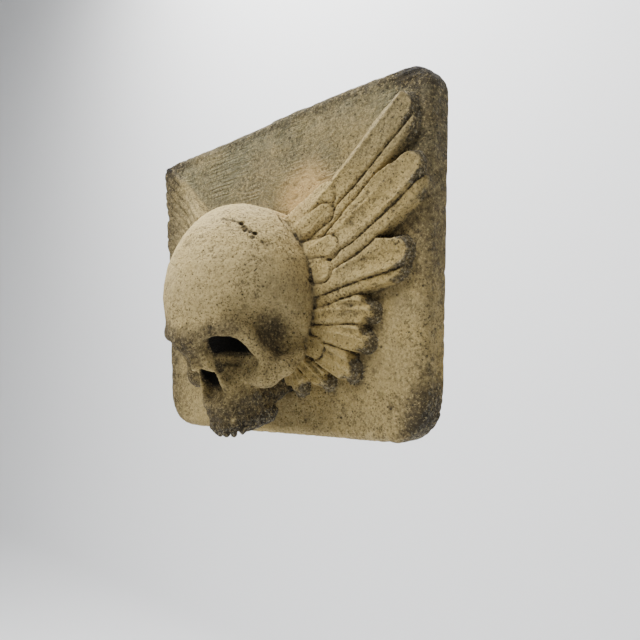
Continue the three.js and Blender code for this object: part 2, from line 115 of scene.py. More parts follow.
# Bones of the skull as rods: start, end, radius at the start, radius at the end, softness of the join
BROW_AND_RIM = (
    ((6, -4.5, 8), (20, -10, 12), 8.5, 6.0, 12.0),
    ((20, -10, 12), (37, -18, 10.5), 6.0, 5.0, 8.0),
    ((37, -18, 10.5), (47.5, -28, 1), 6.2, 7.0, 9.0),
    ((47.5, -28, 1), (50, -34, -27), 7.0, 7.5, 7.0),
)
NOSE_BONES = (
    ((0, -4, 2), (0, -0.5, -15), 4.5, 4.2, 4.0),
    ((5, -10, 1), (13, -10, -26), 5.0, 5.5, 6.0),
    ((13, -10, -26), (17, -13, -46), 5.5, 6.0, 6.0),
)
CHEEK_ARCH = (
    ((48, -31, -39), (61, -42, -35.5), 10.0, 8.2, 6.0),
    ((61, -42, -35.5), (64.5, -56, -31.5), 8.2, 6.6, 3.0),
    ((64.5, -56, -31.5), (52, -74, -24), 6.6, 5.0, 3.0),
)
BACK_TEETH = (((19, -14, -78.5), (24, -36, -78.5), 5.5, 8.0, 4.0),)
TEMPLE_HOLLOW = (
    ((52, -20, 24), (65, -41, 6), 6.5, 11.0, 10.0),
    ((65, -41, 6), (66, -49, -11), 11.0, 12.0, 10.0),
    ((66, -49, -12), (70, -61, -18), 12.0, 9.0, 5.0),
)

# Teeth of one side from the middle outwards, in millimetres; those behind are worn to one rough lump
TOOTH_WIDTHS = (8.5, 6.8, 7.6, 7.0, 6.8)
TOOTH_LENGTHS = (10.0, 9.0, 10.0, 9.5, 9.5)

# Weathering of the cranium from the bridge of the nose, in millimetres: pits as place and radius,
# cracks as lines
PITS = (
    (40, 24, 106, 1.7),
    (43, 24, 103, 1.4),
    (45, 24, 100, 2.0),
    (49, 26, 98.5, 1.6),
    (52, 29, 96.5, 1.9),
    (52.5, 26, 93, 1.4),
    (58, 31, 89, 1.2),
    (73, 73, 60, 2.0),
)
CRACKS = (
    ((24, 16.5, 111.5), (31, 19.5, 110), (38, 23, 107)),
    ((36, 69, 123), (44, 64.5, 116), (54, 64.5, 104)),
)

# Inputs of the weathering nodes, named as the properties of the wear
WEATHERING = ("Lump Size", "Lump Depth", "Grain Size", "Grain Depth", "Pit Spacing", "Pit Depth", "Seed")
# Colours of the stone, named as its properties, and the near black painted as deep shadow where the soot and
# painted shade are thickest
TONES = ("buff", "ochre", "field", "moss", "blush", "dirt_and_shade", "lichen", "crust")
NEAR_BLACK = (0.005, 0.004, 0.003, 1.0)
# Middle of the pinkish patch on the slab, in metres
BLUSH_MIDDLE = (0.048, -0.026, 0.064)

# Random lumps of the carving as spacing in millimetres and seed
WAVER = ((16.0, 3), (16.0, 4))
WAVES = ((34.0, 5), (15.0, 6))
CHIPS = ((6.5, 8), (2.8, 9))
PITTING = ((4.6, 10), (2.6, 11))
# Corners of one cell of the grid
CUBE = list(itertools.product((0, 1), repeat=3))
# The grid's part that can hold the skull: up to this far sideways, in front of this and below this
HEAD_BLOCK = (90.0, -14.0, 84.0)

# Camera as in the photograph: place, yaw, pitch and roll in degrees, focal length for a 36 mm sensor
CAMERA_PLACE = (0.4365, -0.4202, -0.0906)
CAMERA_TURN = (43.4, 4.5, -0.72)
CAMERA_LENS = 34.875


# Sizes and colours


def length(name, description, default):
    return bpy.props.FloatProperty(
        name=name, description=description, default=default, min=0.0, unit="LENGTH", precision=4
    )


def share(name, description, default):
    return bpy.props.FloatProperty(
        name=name, description=description, default=default, min=0.0, max=1.0, subtype="FACTOR"
    )


def colour(name, description, default):
    return bpy.props.FloatVectorProperty(
        name=name, description=description, default=default, size=3, min=0.0, max=1.0, subtype="COLOR"
    )


def amount(name, description, default, unit="NONE"):
    return bpy.props.FloatProperty(name=name, description=description, default=default, min=0.0, unit=unit)


class PlaqueSlab(bpy.types.PropertyGroup):
    height: length("Height", "Height of the slab", 0.300)
    top_width: length("Top width", "Width along the top edge", 0.372)
    bottom_width: length("Bottom width", "Width along the bottom edge", 0.340)
    thickness: length("Thickness", "Thickness of the slab behind the carving", 0.025)
    edge_bevel: length("Edge rounding", "Rounding of the front edges", 0.008)
    back_bevel: length("Back bevel", "Bevel of the back edges", 0.003)
    top_left: length("Top left corner", "Radius of the chipped top left corner", 0.012)
    top_right: length("Top right corner", "Radius of the top right corner", 0.026)
    bottom_corner: length("Bottom corners", "Radius of both bottom corners", 0.034)
    unevenness: length("Unevenness", "Hand-worked waves of the slab's face", 0.0005)


class PlaqueSkull(bpy.types.PropertyGroup):
    width: length("Width", "Width of the cranium", 0.148)
    tilt: bpy.props.FloatProperty(
        name="Tilt",
        description="How far the face leans down",
        default=math.radians(27.6),
        min=0.0,
        max=math.radians(60.0),
        subtype="ANGLE",
    )
    reach: length("Reach", "How far the bridge of the nose stands off the slab", 0.094)
    drop: length("Drop", "Height of the bridge of the nose below the slab's middle", 0.075)


class PlaqueWings(bpy.types.PropertyGroup):
    root_relief: length("Root relief", "Height of the feathers at the skull", 0.020)
    tip_relief: length("Tip relief", "Height of the feathers at their tips", 0.0125)
    half_width: length("Feather half width", "Half the width of a long feather", 0.014)
    strip_offset: length("Strip offset", "How far the lower vane shows below its feather", 0.0095)
    strip_drop: length("Strip drop", "How much lower the lower vane lies", 0.002)
    covert_relief: length("Covert relief", "Height of the short feathers at their roots", 0.024)
    covert_tip: length("Covert tip relief", "Height of the short feathers at their tips", 0.017)
    covert_half_width: length("Covert half width", "Half the width of a short feather", 0.010)
    groove_depth: length("Groove depth", "Depth of the cut lines between feathers", 0.0030)
    groove_width: length("Groove width", "Half the width of the cut lines", 0.0010)


class PlaqueWear(bpy.types.PropertyGroup):
    carving_step: length("Carving step", "Spacing of the grid the form is carved on", 0.00125)
    triangles: bpy.props.IntProperty(
        name="Triangles", description="Most triangles of the finished casting", default=194000, min=20000
    )
    lump_size: length("Lump size", "Spacing of the broad lumps left by the mould and the weather", 0.011)
    lump_depth: length("Lump depth", "Height of the broad lumps", 0.00045)
    grain_size: length("Grain size", "Spacing of the coarse sand grains", 0.0032)
    grain_depth: length("Grain depth", "Height of the coarse sand grains", 0.00028)
    pit_spacing: length("Pit spacing", "Spacing of the weathered pits", 0.009)
    pit_depth: length("Pit depth", "Depth of the weathered pits", 0.0007)
    seed: bpy.props.IntProperty(name="Seed", description="Which scatter of grains and pits", default=7)


class PlaqueStone(bpy.types.PropertyGroup):
    # the buff is also laid on faces that turn up as painted top light
    buff: colour("Dry buff", "Bleached stone on the cranium and the raised parts", (0.55, 0.425, 0.195))
    ochre: colour("Ochre", "Warm yellow stone", (0.41, 0.295, 0.10))
    field: colour("Slab tone", "Duller, damper stone of the slab", (0.235, 0.192, 0.10))
    moss: colour("Grey green", "Thin green film over the upper slab", (0.16, 0.155, 0.09))
    blush: colour("Blush", "Warm patch over the skull", (0.66, 0.45, 0.19))
    # the dirt colour is also the painted shade in hollows, sheltered spots and the shaded parts of the skull
    dirt_and_shade: colour("Dirt", "Brown dirt held in the hollows", (0.042, 0.032, 0.018))
    lichen: colour("Lichen", "Dark crust on tips, edges and teeth", (0.028, 0.025, 0.019))
    crust: colour("Pale crust", "Grey specks in the dark crust", (0.30, 0.275, 0.20))
    roughness: share("Roughness", "Overall roughness of the stone", 0.93)


class PlaqueStudio(bpy.types.PropertyGroup):
    floor_drop: length("Floor drop", "How far the floor lies below the plaque's middle", 1.5)
    backdrop: length("Backdrop", "How far the backdrop stands behind the plaque", 1.25)
    key_power: amount("Key light", "Power of the large light above", 64.0, "POWER")
    backdrop_power: amount("Backdrop light", "Power of the light on the backdrop", 200.0, "POWER")
    sky: amount("Surround", "Strength of the even light all round", 0.66)


# Simple forms, each as the distance from its surface, negative inside


def soft_min(a, b, k):
    h = np.maximum(k - np.abs(a - b), 0.0) / k
    return np.minimum(a, b) - h * h * k * 0.25


def soft_max(a, b, k):
    return -soft_min(-a, -b, k)


def ease(low, high, value):
    t = np.clip((value - low) / (high - low), 0.0, 1.0)
    return t * t * (3.0 - 2.0 * t)


def bump_at(value, middle, width):
    return np.exp(-(((value - middle) / width) ** 2))


def egg(x, y, z, radii):
    rx, ry, rz = radii
    k0 = np.sqrt((x / rx) ** 2 + (y / ry) ** 2 + (z / rz) ** 2)
    k1 = np.sqrt((x / rx**2) ** 2 + (y / ry**2) ** 2 + (z / rz**2) ** 2) + 1e-9
    return k0 * (k0 - 1.0) / k1


def rod(x, y, z, start, end, start_radius, end_radius):
    run = np.subtract(end, start)
    t = ((x - start[0]) * run[0] + (y - start[1]) * run[1] + (z - start[2]) * run[2]) / float(run @ run)
    t = np.clip(t, 0.0, 1.0)
    away = sum((place - a - t * b) ** 2 for place, a, b in zip((x, y, z), start, run))
    return np.sqrt(away) - (start_radius + (end_radius - start_radius) * t)


def rounded_corner(a, b, radius):
    """Two faces a and b met with a round edge."""
    a, b = a + radius, b + radius
    return np.hypot(np.maximum(a, 0.0), np.maximum(b, 0.0)) + np.minimum(np.maximum(a, b), 0.0) - radius


def lumps(lines, cell, seed):
    """Smooth random values from -1 to 1 over a grid, one lump to a cell."""
    weights = []
    for line in lines:
        place = (line - line[0]) / cell
        base = place.astype(int)
        t = place - base
        t = t * t * (3.0 - 2.0 * t)
        weight = np.zeros((len(line), base[-1] + 2), np.float32)
        weight[np.arange(len(line)), base] = 1.0 - t
        weight[np.arange(len(line)), base + 1] = t
        weights.append(weight)
    values = np.random.default_rng(seed).uniform(-1.0, 1.0, [w.shape[1] for w in weights]).astype(np.float32)
    for weight in weights:
        values = np.tensordot(values, weight, axes=([0], [1]))
    return values


# Skull


def face_place(x, y, z, skull):
    """Place in the tilted frame of the face, from the bridge of the nose, at the skull's design size."""
    scale = skull.width * MM / DESIGN_WIDTH
    turn_cos, turn_sin = math.cos(skull.tilt), math.sin(skull.tilt)
    back = (y + DESIGN_FRONT + skull.reach * MM) / scale
    rise = (z + skull.drop * MM) / scale
    front = -turn_cos * back - turn_sin * rise
    up = -turn_sin * back + turn_cos * rise
    return x / scale, front, up, back, rise, scale


def tooth_arch(side, front, up):
    """Horseshoe block that carries the teeth."""
    round_wall = (np.sqrt((side / 29.0) ** 2 + ((front + 33.0) / 36.0) ** 2) - 1.0) * 29.0
    wall = np.where(front < -33.0, side - 29.0, round_wall)
    level = np.maximum(-74.0 - up, up + 48.0)
    return rounded_corner(wall, level, 4.0)


def tooth_spots():
    """Middle, heading, width and length of each tooth of one side."""
    half_span, reach = 26.5, 34.0
    turn = 0.0
    for width, crown in zip(TOOTH_WIDTHS, TOOTH_LENGTHS):
        pace = max(math.hypot(half_span * math.cos(turn), reach * math.sin(turn)), 20.0)
        middle = turn + 0.5 * width / pace
        turn += width / pace
        yield half_span * math.sin(middle), reach * math.cos(middle) - 33.0, middle, width, crown


def teeth(side, front, up):
    best = np.full(side.shape, 1e3, np.float32)
    for n, (across, forward, turn, width, crown) in enumerate(tooth_spots()):
        c, s = math.cos(turn), math.sin(turn)
        wide = (side - across) * c - (front - forward) * s
        deep = (side - across) * s + (front - forward) * c
        height = up + 73.0 + 0.3 * crown
        form = egg(wide, deep, height, (width * 0.52, 4.2 + 0.4 * (n > 2), crown * 0.75))
        # the root stands out as a low ridge on the jaw above its tooth
        root = rod(wide, deep, up, (0.0, 1.2, -70.0), (0.0, -0.5, -58.0), width * 0.36, width * 0.2)
        best = np.minimum(best, np.minimum(form, root + 1.2))
    return best


def socket_ring(side, up):
    """How far out from the middle of the eye socket, 1 at its rim."""
    wide = np.abs((side - SOCKET_MIDDLE[0]) / SOCKET_REACH[0])
    tall = np.abs((up - SOCKET_MIDDLE[1]) / SOCKET_REACH[1])
    return (wide**3 + tall**3) ** (1.0 / 3.0)


def skull_form(x, y, z, skull):
    across, front, up, back, rise, scale = face_place(x, y, z, skull)
    side = np.abs(across)
    behind = np.maximum(back - 57.0, 0.0)
    depth = np.minimum(back - 57.0, 0.0) + 0.4 * behind
    high = np.clip((rise - 49.0) / 80.0, 0.0, 1.0)

    def with_bones(d, bones):
        for start, end, start_radius, end_radius, softness in bones:
            d = soft_min(d, rod(side, front, up, start, end, start_radius, end_radius), softness)
        return d

    d = egg(side * (1.0 + 0.08 * high * high), depth, rise - 49.0, (74.0, 67.0, 86.0))
    d = soft_max(d, -(up + 38.0), 14.0)
    # the head narrows behind the outer ends of the brow
    corner = soft_max(soft_max(-(front + side - 14.0) / 1.41, up - 6.0, 10.0), -(up + 27.0), 8.0)
    d = soft_max(d, -corner, 10.0)
    # brow and outer rim of the eye socket, core of the face, bones of the nose
    d = with_bones(d, BROW_AND_RIM)
    d = soft_min(d, egg(side, front + 42, up + 26, (40, 31, 32)), 9.0)
    d = with_bones(d, NOSE_BONES)
    # cheekbone and the arch behind it
    d = soft_min(d, egg(side - 41, front + 30, up + 37, (14, 11, 11)), 9.0)
    d = with_bones(d, CHEEK_ARCH)
    # upper jaw, and the lump that the back teeth are worn to
    d = soft_min(d, egg(side, front + 29, up + 54, (27, 24, 27)), 9.0)
    d = soft_min(d, tooth_arch(side, front, up), 7.0)
    d = with_bones(d, BACK_TEETH)
    # hollow of the temple, by the same join with stone and air exchanged
    d = -with_bones(-d, TEMPLE_HOLLOW)
    # eye socket, wide and flat-topped; its back wall runs out softly over the cheek
    socket = (socket_ring(side, up) - 1.0) * 17.0
    socket = -soft_max(socket, -0.8 * (front + 50.0 + 0.78 * up), 8.0)
    crisp = soft_max(d, socket, 2.5)
    d = crisp + (soft_max(d, socket, 12.0) - crisp) * ease(12.0, 28.0, -up)
    # nose opening, deep under the nose bones and shallow at the jaw
    width = 10.8 + 0.1 * np.clip(-20.0 - up, 0.0, 24.0)
    nose = soft_max(side - width, up + 18.0 + 0.42 * side, 4.0)
    nose = soft_max(nose, -(up + 50.0), 10.0)
    nose = soft_max(nose, -(front + 34.0 - 0.5 * np.clip(-15.0 - up, 0.0, 36.0)), 6.0)
    d = soft_max(d, -nose, 2.0)
    # hollow beside the nose
    d = soft_max(d, -egg(side - 30, front + 6, up + 50, (8, 8, 10)), 9.0)
    # teeth and the core behind the jaw
    d = soft_min(d, teeth(side, front, up), 1.5)
    d = soft_min(d, egg(side, back - 55.0, rise + 29.0, (24, 22, 30)), 10.0)
    return d * scale


def cranium_wear(across, back, rise):
    """Distance from the pits and the cracks in the cranium."""
    gap = np.full(across.shape, 1e3, np.float32)
    for x, y, z, radius in PITS:
        gap = np.minimum(gap, np.sqrt((across - x) ** 2 + (back - y) ** 2 + (rise - z) ** 2) - radius)
    for line in CRACKS:
        for start, end in zip(line, line[1:]):
            gap = np.minimum(gap, rod(across, back, rise, start, end, 0.4, 0.4))
    return gap


# Wings


def curve_points(row, half_width, half_height, shift=(0.0, 0.0), tip_shift=(0.0, 0.0), count=24):
    root, bend, tip = (np.array((row[k] * half_width, row[k + 1] * half_height)) for k in (0, 2, 4))
    root, bend, tip = root + shift, bend + shift, tip + shift + tip_shift
    t = np.linspace(0.0, 1.0, count)[:, None]
    return (1.0 - t) ** 2 * root + 2.0 * t * (1.0 - t) * bend + t**2 * tip


def beside(x, z, line):
    """Distance to a line of points, the side it lies on, and the share of the way along."""
    best = np.full(x.shape, 1e9)
    side = np.zeros(x.shape)
    along = np.zeros(x.shape)
    steps = len(line) - 1
    for i in range(steps):
        a, run = line[i], line[i + 1] - line[i]
        t = np.clip(((x - a[0]) * run[0] + (z - a[1]) * run[1]) / (run @ run), 0.0, 1.0)
        dx, dz = x - a[0] - t * run[0], z - a[1] - t * run[1]
        away = np.hypot(dx, dz)
        nearer = away < best
        best = np.where(nearer, away, best)
        side = np.where(nearer, (run[0] * dz - run[1] * dx) / math.sqrt(run @ run), side)
        along = np.where(nearer, (i + t) / steps, along)
    return best, side, along


def laid_over(height, edge, layer, wall, cut, cut_width):
    """One feather over what lies there: its rim is a wall above the slab and a cut line above others."""
    covered = ease(0.5, 5.0, height)
    above = height + (layer - height) * ease(0.7, -0.7, edge) - cut * bump_at(edge, 0.0, cut_width)
    alone = np.maximum(height, layer * ease(0.8, -wall, edge))
    laid = np.maximum(covered * above + (1.0 - covered) * alone, 0.0)
    return np.where(edge < 3.5, laid, height)


def vane_shape(n, q, edge, along):
    """Rise and fall across one feather, q from -1 at its lower edge to 1 at its upper edge."""
    if n == 0:
        crest = 1.5 * bump_at(q, 0.3, 0.16) - 4.2 * ease(0.32, 1.0, q)
        return crest - 1.2 * ease(0.2, -0.9, q)
    if n < LONG_FEATHERS:
        rim = 1.3 * bump_at(edge, -1.8, 1.1) * ease(0.45, 0.85, along)
        hollow = (1.6 if n == 1 else 2.3) * bump_at(q, -0.1, 0.5) * ease(0.15, 0.7, along)
        return rim - hollow + 1.2 * bump_at(q, 0.42, 0.12) * ease(1.0, 0.6, along)
    ribs = 1.4 * bump_at(q, 0.78, 0.13) + 1.3 * bump_at(q, 0.12, 0.12) - 0.9 * bump_at(q, 0.45, 0.2)
    return ribs - 0.6 * bump_at(q, -0.4, 0.3)


def wing_relief(x, z, slab, wings):
    """Height of one wing above the slab and how crusted its tips are, x measured outwards."""
    half_width, half_height = slab.top_width * MM / 2.0, slab.height * MM / 2.0
    root_relief, tip_relief = wings.root_relief * MM, wings.tip_relief * MM
    cut, cut_width = wings.groove_depth * MM, wings.groove_width * MM
    height = np.zeros(x.shape)
    crust = np.zeros(x.shape)
    for n, row in reversed(list(enumerate(FEATHERS))):
        line = curve_points(row, half_width, half_height)
        width = wings.half_width * MM * row[6]
        tip_wall = 4.0 if n < LONG_FEATHERS else 9.0
        if row[7]:
            heading = line[-1] - line[-2]
            heading = heading / np.hypot(*heading)
            down = np.array((heading[1], -heading[0])) * wings.strip_offset * MM * row[7]
            lower = curve_points(row, half_width, half_height, down, -6.0 * heading)
            away, side, along = beside(x, z, lower)
            edge = away - width * (0.84 + 0.16 * along)
            top = root_relief + (tip_relief - root_relief) * along - wings.strip_drop * MM
            layer = top - 0.5 * ease(-5.0, -0.5, edge)
            wall = 1.7 + (tip_wall - 1.7) * ease(0.85, 1.0, along)
            height = laid_over(height, edge, layer, wall, cut * ease(0.05, 0.25, along), cut_width * 1.15)
            dark = ease(0.78, 1.0, along) * ease(-wall - 2.0, -0.3 * wall, edge)
            crust = np.where(edge < 0.8, dark, crust)
        away, side, along = beside(x, z, line)
        wide = width * (0.8 + 0.2 * along)
        tuck = 5.5 * ease(1.0, 0.72, along) if n > 0 else 0.0
        edge = away - wide - np.where(side > 0.0, tuck, 0.0)
        top = root_relief + (tip_relief - root_relief) * along
        layer = top + vane_shape(n, side / wide, edge, along)
        wall = 1.7 + (tip_wall - 1.7) * ease(0.88, 1.0, along)
        height = laid_over(height, edge, layer, wall, cut * ease(0.05, 0.25, along), cut_width)
        reach = wall + (1.5 if n < LONG_FEATHERS else 3.0)
        crust = np.where(edge < 0.8, ease(0.84, 1.0, along) * ease(-reach, -0.4 * wall, edge), crust)
    # the coverts swell out of one smooth wing root and are told apart by their rims
    root = curve_points(WING_ROOT, half_width, half_height)
    away, side, along = beside(x, z, root)
    edge = away - wings.covert_half_width * MM * WING_ROOT[6]
    height = soft_max(height, WING_ROOT_HEIGHT * ease(3.0, -9.0, edge), 4.0)
    for row in COVERTS:
        line = curve_points(row, half_width, half_height)
        width = wings.covert_half_width * MM * row[6]
        away, side, along = beside(x, z, line)
        edge = away - width
        top = wings.covert_relief * MM + (wings.covert_tip - wings.covert_relief) * MM * along
        layer = top + 0.4 - 1.4 * (away / width) ** 2
        fresh = ease(0.3, 0.75, along)
        raised = soft_max(height, layer - 6.0 * ease(-2.5, 2.5, edge), 5.0)
        height = height + (raised - height) * ease(3.0, -0.5, edge)
        height = height - 0.7 * cut * bump_at(edge, 0.9, cut_width * 0.85) * fresh
        height = np.maximum(height, 0.0)
        crust = np.where(edge < 0.7, 0.0, crust)
    return height, crust


def both_wings(x, z, slab, wings):
    """Relief and crust of both wings; the left one is set a little higher and worn to long flat grooves."""
    left = x < 0.0
    lift = np.where(left, LEFT_LIFT * ease(60.0, 165.0, -x), 0.0)
    relief, crust = wing_relief(np.abs(x), z - lift, slab, wings)
    worn = ease(92.0, 150.0, -x)
    across = GROOVE_ACROSS[0] * np.abs(x) + GROOVE_ACROSS[1] * z
    plate = PLATE_HEIGHT * ease(9.0, 1.0, across) * ease(-52.0, -30.0, across) * ease(78.0, 105.0, -x)
    groove = bump_at(np.mod(across, GROOVE_SPACING) - GROOVE_SPACING / 2.0, 0.0, GROOVE_HALF_WIDTH)
    groove = groove * ease(12.0, 4.0, across) * ease(-56.0, -40.0, across)
    relief = soft_max(relief * (1.0 - LEFT_WORN * worn), plate, 2.0)
    relief = relief - GROOVE_DEPTH * groove * ease(82.0, 104.0, -x)
    within = np.where(left, ease(1.0, -9.0, slab_outline(x, z, slab)), 1.0)
    return relief * within, crust * np.where(left, LEFT_CRUST, 1.0)


# Slab


def slab_outline(x, z, slab):
    """Distance from the slab's outline, with its swollen top edge and uneven corners."""
    half_height = slab.height * MM / 2.0
    top, bottom = slab.top_width * MM / 2.0, slab.bottom_width * MM / 2.0
    left, right, low = slab.top_left * MM, slab.top_right * MM, slab.bottom_corner * MM
    radius = np.where(z < 0.0, low, np.where(x < 0.0, left, right))
    half_width = top + (z - half_height) * (top - bottom) / (slab.height * MM)

    def swell(t):
        t = np.clip(t, 0.0, 1.0)
        return np.sin(math.pi * t) * (1.0 + np.sin(5.5 * t + 0.6))

    along_top = (top - right - x) / (2.0 * top - right - left)
    along_bottom = (x + bottom - low) / (2.0 * (bottom - low))
    above = z - half_height - 1.6 * swell(along_top)
    below = -half_height - z - 0.6 * swell(along_bottom)
    over = np.where(z > 0.0, above, below)
    return rounded_corner(np.abs(x) - half_width, over, radius)


# Carving and its surface


def carve(slab, skull, wings, step):
    """The casting as distances on a grid, with the grid's lines."""
    box = [np.array(corner) * MM for corner in CAST_BOX]
    lines = [np.arange(a - 2.0 * step, b + 3.0 * step, step) for a, b in zip(*box)]
    xs, ys, zs = lines
    x, z = np.meshgrid(xs, zs, indexing="ij")
    waver_x, waver_z = (0.6 * lumps((xs, zs), *row) for row in WAVER)
    relief, _ = both_wings(x + waver_x, z + waver_z, slab, wings)
    outline = slab_outline(x, z, slab)
    broad, narrow = (lumps((xs, zs), *row) for row in WAVES)
    uneven = slab.unevenness * MM * (broad + 0.5 * narrow)
    front = slab.thickness * MM + relief + uneven
    slope_x, slope_z = np.gradient(relief, step)
    slope = np.sqrt(1.0 + slope_x**2 + slope_z**2)
    # the edge is worn, most of all at the top left and bottom right corners
    corner = bump_at(np.hypot(x + 178.0, z - 146.0), 0.0, 26.0)
    corner = corner + bump_at(np.hypot(x - 165.0, z + 140.0), 0.0, 34.0)
    wear = ease(-14.0, -2.0, outline) * (0.45 + 1.1 * corner)
    solid = np.empty((len(xs), len(ys), len(zs)), np.float32)
    for j, y in enumerate(ys):
        face = rounded_corner(outline, (-y - front) / slope, slab.edge_bevel * MM)
        solid[:, j, :] = rounded_corner(face, np.full(x.shape, y), slab.back_bevel * MM * 0.8)
    large, small = (lumps(lines, *row) for row in CHIPS)
    chips = np.maximum(large * 0.7 + small * 0.5 - 0.12, 0.0)
    solid += 2.2 * wear[:, None, :].astype(np.float32) * chips
    sideways, forward, high = HEAD_BLOCK
    near = [np.abs(xs) < sideways, ys < forward, zs < high]
    block = np.ix_(*near)
    near_lines = [line[keep] for line, keep in zip(lines, near)]
    place = np.meshgrid(*near_lines, indexing="ij")
    head = skull_form(*place, skull)
    across, front, up, back, rise, _ = face_place(*place, skull)
    coarse, fine = (lumps(near_lines, *row) for row in PITTING)
    # the jaw has weathered rough, and pits and a broken crack run over the cranium
    head = head + ease(-40.0, -58.0, up) * ease(-62.0, -48.0, front) * (1.3 * coarse + 0.9 * fine)
    head = np.maximum(head, -0.8 * (cranium_wear(across, back, rise) + 1.3 * fine - 0.3))
    base = solid[block]
    joined = soft_min(base, head, 2.0)
    # a narrow cut follows the line where the skull leaves the wings and the slab
    joined = joined + 1.3 * np.exp(-(head**2 + base**2) / 4.5)
    solid[block] = joined
    return solid, lines


def window(values, shifts):
    """The values without the last (0) or the first (1) along each axis in shifts."""
    cut = [slice(None)] * values.ndim
    for axis, shift in shifts.items():
        cut[axis] = slice(shift, values.shape[axis] - 1 + shift)
    return values[tuple(cut)]


def settle(solid):
    """Changes the value nearest the surface wherever a square of the grid is in and out by turns."""
    for _ in range(12):
        changed = 0
        for a, b in ((0, 1), (1, 2), (0, 2)):
            corners = [(0, 0), (1, 0), (1, 1), (0, 1)]
            inside = [window(solid, {a: i, b: j}) < 0 for i, j in corners]
            crossed = (inside[0] == inside[2]) & (inside[1] == inside[3]) & (inside[0] != inside[1])
            spots = np.argwhere(crossed)
            changed += len(spots)
            for spot in spots:
                near = []
                for corner in corners:
                    at = list(spot)
                    at[a] += corner[0]
                    at[b] += corner[1]
                    near.append(tuple(at))
                pick = min(near, key=lambda at: abs(solid[at]))
                solid[pick] = 0.02 if solid[pick] < 0 else -0.02
        if not changed:
            return


def surface(solid, lines, step):
    """Closed quads around the zero level, one point in each cell that it crosses."""
    inside = solid < 0
    count = np.zeros([n - 1 for n in solid.shape], np.uint8)
    for corner in CUBE:
        count += window(inside, dict(enumerate(corner)))
    cells = np.argwhere((count > 0) & (count < 8))
    number = np.full(count.shape, -1, np.int32)
    number[tuple(cells.T)] = np.arange(len(cells))
    total = np.zeros((len(cells), 3))
    crossings = np.zeros(len(cells))
    for p, q in itertools.combinations(CUBE, 2):
        if sum(abs(m - n) for m, n in zip(p, q)) == 1:
            a = solid[tuple((cells + p).T)]
            b = solid[tuple((cells + q).T)]
            crossed = (a < 0) != (b < 0)
            t = np.where(crossed, a / np.where(a == b, 1.0, a - b), 0.0)
            spot = np.array(p) + t[:, None] * (np.array(q) - np.array(p))
            total[crossed] += spot[crossed]
            crossings[crossed] += 1
    points = (cells + total / crossings[:, None]) * step + [line[0] for line in lines]
    quads = []
    for axis in range(3):
        u, w = ((1, 2), (2, 0), (0, 1))[axis]
        before, after = window(inside, {axis: 0}), window(inside, {axis: 1})
        crossed = np.argwhere(before != after)
        corner_cells = []
        for du, dw in ((-1, -1), (0, -1), (0, 0), (-1, 0)):
            cell = crossed.copy()
            cell[:, u] += du
            cell[:, w] += dw
            corner_cells.append(number[tuple(cell.T)])
        quad = np.stack(corner_cells, 1)
        outward = before[tuple(crossed.T)]
        quad[~outward] = quad[~outward][:, ::-1]
        quads.append(quad)
    return points, np.concatenate(quads)


def largest(points, quads):
    """Only the biggest connected part, so that no crumb is left hanging or shut in."""
    label = np.arange(len(points))
    edges = np.concatenate([quads[:, [i, (i + 1) % 4]] for i in range(4)])
    while True:
        low = np.minimum(label[edges[:, 0]], label[edges[:, 1]])
        before = label.copy()
        np.minimum.at(label, edges[:, 0], low)
        np.minimum.at(label, edges[:, 1], low)
        label = label[label]
        label = label[label]
        if np.array_equal(label, before):
            break
    names, sizes = np.unique(label[quads[:, 0]], return_counts=True)
    quads = quads[label[quads[:, 0]] == names[np.argmax(sizes)]]
    used = np.unique(quads)
    renumber = np.full(len(points), -1)
    renumber[used] = np.arange(len(used))
    return points[used], renumber[quads]


def mesh_from(name, points, faces):
    mesh = bpy.data.meshes.new(name)
    mesh.vertices.add(len(points))
    mesh.vertices.foreach_set("co", np.asarray(points, np.float32).ravel())
    mesh.loops.add(faces.size)
    mesh.loops.foreach_set("vertex_index", faces.astype(np.int32).ravel())
    mesh.polygons.add(len(faces))
    mesh.polygons.foreach_set("loop_start", np.arange(0, faces.size, faces.shape[1], dtype=np.int32))
    mesh.update(calc_edges=True)
    return mesh


# Weathering with geometry nodes


def add_node(tree, kind, inputs=None, **settings):
    """Outputs of a new node whose inputs, by name or number, are linked or set."""
    node = tree.nodes.new(kind)
    for name, value in settings.items():
        setattr(node, name, value)
    for key, value in (inputs or {}).items():
        if isinstance(value, bpy.types.NodeSocket):
            tree.links.new(value, node.inputs[key])
        elif value is not None:
            node.inputs[key].default_value = value
    return node.outputs


def sums(tree, operation, a, b=None, c=None):
    return add_node(tree, "ShaderNodeMath", {0: a, 1: b, 2: c}, operation=operation)[0]


def ramp_value(tree, value, low, high, to_low=0.0, to_high=1.0):
    inputs = {"Value": value, "From Min": low, "From Max": high, "To Min": to_low, "To Max": to_high}
    return add_node(tree, "ShaderNodeMapRange", inputs, interpolation_type="SMOOTHSTEP")["Result"]


